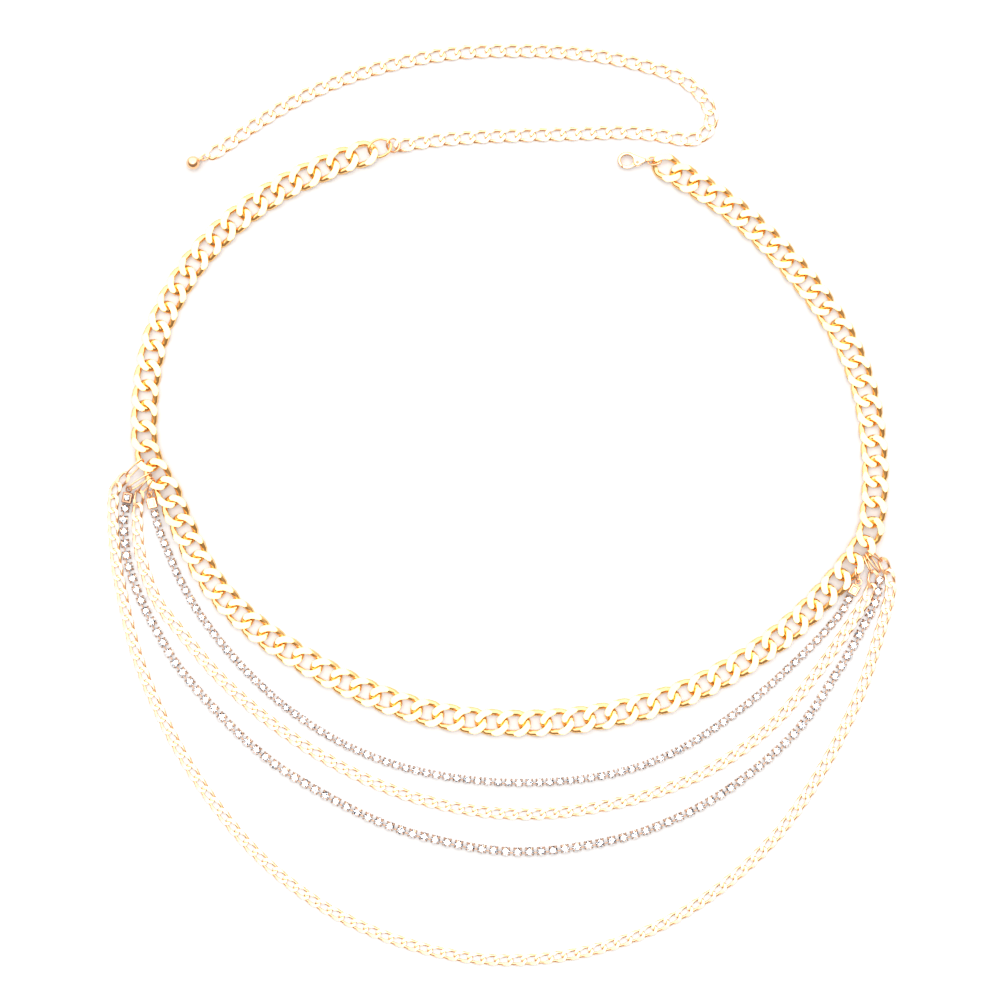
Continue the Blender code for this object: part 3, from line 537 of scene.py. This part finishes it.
def finish_piece(piece, look, body, nodes):
    """Gives a piece its look and its body, and hides the CAD nodes that it stands for."""
    piece.data.materials.clear()
    piece.data.materials.append(look)
    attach(piece, body)
    if nodes:
        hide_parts(*nodes)


def remove(piece):
    bpy.data.objects.remove(piece)


def stretch(amount):
    return Matrix.Diagonal((amount, 1, 1, 1))


# The chains

def dress_heavy_chain(look):
    pattern = curb_link("heavy_link", MAIN_PITCH, MAIN_WIDTH, MAIN_WIRE, MAIN_TWIST, MAIN_FLAT, *MAIN_STEPS)
    links = heavy_links()
    middle = len(links) // 2
    for name, chosen in (("main_chain_right", links[:middle]), ("main_chain_left", links[middle:])):
        places = []
        for place, heading, pitch in chosen:
            longer = (pitch + MAIN_WIRE) / (MAIN_PITCH + MAIN_WIRE)
            places.append(lying(place, heading, MAIN_LIFT, pitch / 2 + MAIN_WIRE) @ stretch(longer))
        repeated("heavy_links_" + name.split("_")[-1], pattern, places, look, "chain", [name])
    remove(pattern)


def link_places(points, pitch, first_gap, last_gap):
    """Places of links that fill a route, when what they hook onto takes up a gap at each end."""
    dense = smooth_curve(points)
    length = distances_along(dense)[-1]
    count = round((length + first_gap + last_gap) / pitch)
    fitted = (length + first_gap + last_gap) / count
    first = fitted / 2 - first_gap
    centres = points_at(dense, [first + fitted * number for number in range(count)])
    places = []
    for number, centre in enumerate(centres):
        before = centres[number - 1] if number else points[0]
        after = centres[number + 1] if number < count - 1 else points[-1]
        places.append((centre, (after - before).normalized(), fitted / pitch))
    return places


def dress_curb_strand(name, route, tips, pattern, look):
    """A fine curb chain whose end links hook into the far tips of two hangers."""
    start, end = on_table(tips, TIP_HEIGHT * MM - FINE_LIFT)
    points = [start, *on_table(route), end]
    gap = HANGER_WIRE / 2
    places = [lying(centre, heading, FINE_LIFT, FINE_PITCH / 2 + FINE_WIRE) @ stretch(longer)
              for centre, heading, longer in link_places(points, FINE_PITCH, gap, gap)]
    repeated(name + "_links", pattern, places, look, "chain", [name])


def dress_extender(look):
    pattern = curb_link("extender_link", EXTENDER_PITCH, EXTENDER_WIDTH, EXTENDER_WIRE, EXTENDER_TWIST,
                        EXTENDER_FLAT, *EXTENDER_STEPS)
    ring_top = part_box("extender_end_ring")[1]
    first = Vector([value * MM for value in EXTENDER_START])
    last = Vector((ring_top[0] - END_RING_WIRE / 2, ring_top[1] - BELOW_RING_TOP, 0))
    fitted = link_places([first, *on_table(EXTENDER_ROUTE), last], EXTENDER_PITCH, EXTENDER_FIRST_GAP,
                         EXTENDER_LAST_GAP)
    places = [lying(centre, heading, EXTENDER_LIFT, EXTENDER_PITCH / 2 + EXTENDER_WIRE) @ stretch(longer)
              for centre, heading, longer in fitted]
    repeated("extender_links", pattern, places, look, "chain", ["extender_chain"])
    remove(pattern)


# The stone strands

def stone_cup(name, size, height):
    """A round cup with four prongs bent over its stone."""
    radius = size / 2
    wall_radius, wall_height = radius * 0.736, height * 0.62
    prong_radius, prong_length, prong_narrowing = radius * 0.2, height * 0.5, 0.35
    prong_place = (radius * 0.9, 0, height * 0.68)
    deselect()
    bpy.ops.mesh.primitive_cylinder_add(vertices=12, radius=wall_radius, depth=wall_height,
                                        location=(0, 0, wall_height / 2))
    cup = bpy.context.object
    cup.name = name
    parts = [cup]
    for corner in range(4):
        turn = Matrix.Rotation(pi / 4 + corner * pi / 2, 4, "Z")
        deselect()
        bpy.ops.mesh.primitive_cylinder_add(vertices=6, radius=prong_radius, depth=prong_length)
        prong = bpy.context.object
        bpy.ops.object.mode_set(mode="EDIT")
        select_where(lambda place: place.z > 0)
        bpy.ops.transform.translate(value=(-prong_radius, 0, 0))
        bpy.ops.transform.resize(value=(prong_narrowing, prong_narrowing, 1))
        bpy.ops.object.mode_set(mode="OBJECT")
        prong.data.transform(turn @ Matrix.Translation(prong_place))
        parts.append(prong)
    deselect()
    for part in parts:
        part.select_set(True)
    bpy.context.view_layer.objects.active = cup
    bpy.ops.object.join()
    bpy.ops.object.transform_apply(location=True)
    bpy.ops.object.shade_smooth_by_angle(angle=radians(40))
    return cup


def cut_stone(name, size, height):
    """A stone with a table, a ring of kite facets and a ring of break facets."""
    girdle_radius = size / 2 * 0.88
    table_radius = girdle_radius * 0.56
    crown_height, crown_middle = height * 0.32, height * 0.74
    back_depth, back_narrowing = height * 0.3, 0.3
    deselect()
    bpy.ops.mesh.primitive_cone_add(vertices=8, radius1=girdle_radius, radius2=table_radius,
                                    depth=crown_height, location=(0, 0, crown_middle))
    stone = bpy.context.object
    stone.name = name
    bpy.ops.object.mode_set(mode="EDIT")
    select_where(lambda place: place.z > 0)
    bpy.ops.transform.rotate(value=pi / 8, orient_axis="Z", center_override=(0, 0, 0))
    select_where(lambda place: place.z < -crown_height / 4, "FACE")
    bpy.ops.mesh.extrude_region_move(TRANSFORM_OT_translate={"value": (0, 0, -back_depth)})
    bpy.ops.transform.resize(value=(back_narrowing, back_narrowing, 1))
    bpy.ops.mesh.select_all(action="SELECT")
    bpy.ops.mesh.quads_convert_to_tris()
    bpy.ops.object.mode_set(mode="OBJECT")
    bpy.ops.object.transform_apply(location=True)
    return stone


def cup_bar(name, size, pitch, height):
    """The short low bar between two cups, turned on its edge."""
    length, thickness = pitch - size * 0.8, height * 0.16
    softening = height * 0.05
    deselect()
    bpy.ops.mesh.primitive_cube_add(size=1, location=(pitch / 2, 0, height * 0.3))
    bar = bpy.context.object
    bar.name = name
    bar.scale = (length, thickness, thickness)
    bpy.ops.object.transform_apply(scale=True)
    bar.rotation_euler.x = pi / 4
    bpy.ops.object.transform_apply(location=True, rotation=True)
    bpy.ops.object.mode_set(mode="EDIT")
    bpy.ops.mesh.select_all(action="SELECT")
    bpy.ops.mesh.bevel(offset=softening, segments=1)
    bpy.ops.object.mode_set(mode="OBJECT")
    return bar


def dress_stone_strand(name, route, pitch, size, height, metal, stone):
    """Stones in cups along a route, with a bar between each two."""
    dense = smooth_curve(on_table(route))
    length = distances_along(dense)[-1]
    count = round((length - size) / pitch) + 1
    fitted = (length - size) / (count - 1)
    centres = points_at(dense, [size / 2 + fitted * number for number in range(count)])
    places = []
    for number, centre in enumerate(centres):
        before, after = centres[max(number - 1, 0)], centres[min(number + 1, count - 1)]
        places.append(lying(centre, (after - before).normalized()))
    cup = stone_cup("cup", size, height)
    gem = cut_stone("gem", size, height)
    bar = cup_bar("bar", size, fitted, height)
    repeated(name + "_cups", cup, places, metal, "chain", [name])
    repeated(name + "_bars", bar, places[:-1], metal, "chain", [])
    repeated(name + "_gems", gem, places, stone, "chain", [])
    for piece in (cup, gem, bar):
        remove(piece)


# Rings, cups, clasp and ball, rounded from the solids that they stand for

def merged_copy(name, new_name):
    """A copy of a CAD node with its points merged, in edit mode and with all of it selected."""
    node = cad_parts[name]
    piece = node.copy()
    piece.data = node.data.copy()
    piece.animation_data_clear()
    bpy.context.scene.collection.objects.link(piece)
    piece.name = new_name
    active(piece)
    bpy.ops.object.mode_set(mode="EDIT")
    bpy.ops.mesh.select_all(action="SELECT")
    bpy.ops.mesh.remove_doubles(threshold=MERGED_WITHIN)
    return piece


def rounded_copy(name, new_name, swell, look):
    """A smooth form of a CAD node on the chain, swollen a little and subdivided."""
    piece = merged_copy(name, new_name)
    bpy.ops.mesh.tris_convert_to_quads(face_threshold=radians(60), shape_threshold=radians(60))
    bpy.ops.transform.shrink_fatten(value=swell)
    bpy.ops.object.mode_set(mode="OBJECT")
    smooth = piece.modifiers.new("rounding", "SUBSURF")
    smooth.levels = smooth.render_levels = 2
    bpy.ops.object.modifier_apply(modifier=smooth.name)
    bpy.ops.object.shade_smooth_by_angle(angle=radians(60))
    finish_piece(piece, look, "chain", [name])


def rounded_rings(gold, pale):
    for name in CAD_RINGS:
        look, slot = (gold, "gold") if name == "end_link" else (pale, "pale_gold")
        rounded_copy(name, "round_" + name, RING_SWELL, look)


def bevelled_copy(name, new_name, look, body, width, recess=0.0):
    """A CAD node with its edges softened, and its top sunk inside a rim where a recess is given."""
    piece = merged_copy(name, new_name)
    bpy.ops.mesh.dissolve_limited(angle_limit=radians(3))
    if recess:
        select_where(lambda place: abs(place.z - CUP_TOP) < 10 * TINY, "FACE")
        bpy.ops.mesh.inset(thickness=RIM_WIDTH)
        bpy.ops.mesh.inset(thickness=RECESS_SLOPE * recess, depth=-recess)
    bpy.ops.object.mode_set(mode="OBJECT")
    soft = piece.modifiers.new("soft_edges", "BEVEL")
    soft.width = width
    soft.segments = 3
    soft.limit_method = "ANGLE"
    soft.angle_limit = radians(24)
    bpy.ops.object.modifier_apply(modifier=soft.name)
    bpy.ops.object.shade_smooth_by_angle(angle=radians(50))
    finish_piece(piece, look, body, [name])


def end_stone(stone):
    """The large stone that sits in the recess of an end cup."""
    centre = Vector(STONE_CUP_CENTRE) * MM
    gem = cut_stone("end_gem", END_STONE, END_STONE_HEIGHT)
    gem.data.transform(Matrix.Translation((centre.x, centre.y, CUP_TOP - END_STONE_SUNK)))
    finish_piece(gem, stone, "chain", [])


def clasp_rivet(look):
    """The domed head of the pin that the thumb lever turns on."""
    deselect()
    bpy.ops.mesh.primitive_cylinder_add(vertices=20, radius=RIVET_RADIUS, depth=RIVET_DEPTH,
                                        location=(PIVOT[0] * MM, PIVOT[1] * MM, CLASP_TOP + RIVET_LIFT))
    rivet = bpy.context.object
    rivet.name = "clasp_rivet_head"
    bpy.ops.object.mode_set(mode="EDIT")
    select_where(lambda place: place.z > RIVET_DEPTH / 3, "FACE")
    for inwards, up in RIVET_STEPS:
        bpy.ops.mesh.inset(thickness=inwards)
        bpy.ops.transform.translate(value=(0, 0, up))
    bpy.ops.object.mode_set(mode="OBJECT")
    bpy.ops.object.transform_apply(location=True)
    bpy.ops.object.shade_smooth_by_angle(angle=radians(50))
    finish_piece(rivet, look, "chain", [])


set_camera()
set_table()
set_light()
polish_group()
plating_group()
glint_group()
yellow = plated_metal("yellow_gold_plating", *YELLOW_PLATING)
pale = plated_metal("pale_gold_plating", *PALE_PLATING)
# Darker plating for the cups, bars, stone cup and pin's head: painted shade
shaded_cup_metal = plated_metal("cup_plating_painted_shade", *SHADED_CUP_PLATING)
stones = stone_look()
dress_heavy_chain(yellow)
fine = curb_link("fine_link", FINE_PITCH, FINE_WIDTH, FINE_WIRE, FINE_TWIST, FINE_FLAT, *FINE_STEPS)
dress_curb_strand("curb_strand_inner", CURB_INNER_ROUTE, CURB_INNER_TIPS, fine, pale)
dress_curb_strand("curb_strand_outer", CURB_OUTER_ROUTE, CURB_OUTER_TIPS, fine, pale)
remove(fine)
dress_extender(pale)
dress_stone_strand("stone_strand_inner", STONE_INNER_ROUTE, *INNER_STONES, shaded_cup_metal, stones)
dress_stone_strand("stone_strand_outer", STONE_OUTER_ROUTE, *OUTER_STONES, shaded_cup_metal, stones)
rounded_rings(yellow, pale)
for cup_name in CUPS:
    cup_look = shaded_cup_metal if cup_name == STONE_CUP else pale
    bevelled_copy(cup_name, "folded_" + cup_name, cup_look, "chain", CUP_EDGE, RECESS)
end_stone(stones)
bevelled_copy("clasp_body", "clasp_hook", pale, "chain", CLASP_EDGE)
bevelled_copy("clasp_lever", "clasp_thumb_lever", pale, "lever", LEVER_EDGE)
clasp_rivet(shaded_cup_metal)
rounded_copy("extender_ball", "round_extender_ball", BALL_SWELL, pale)
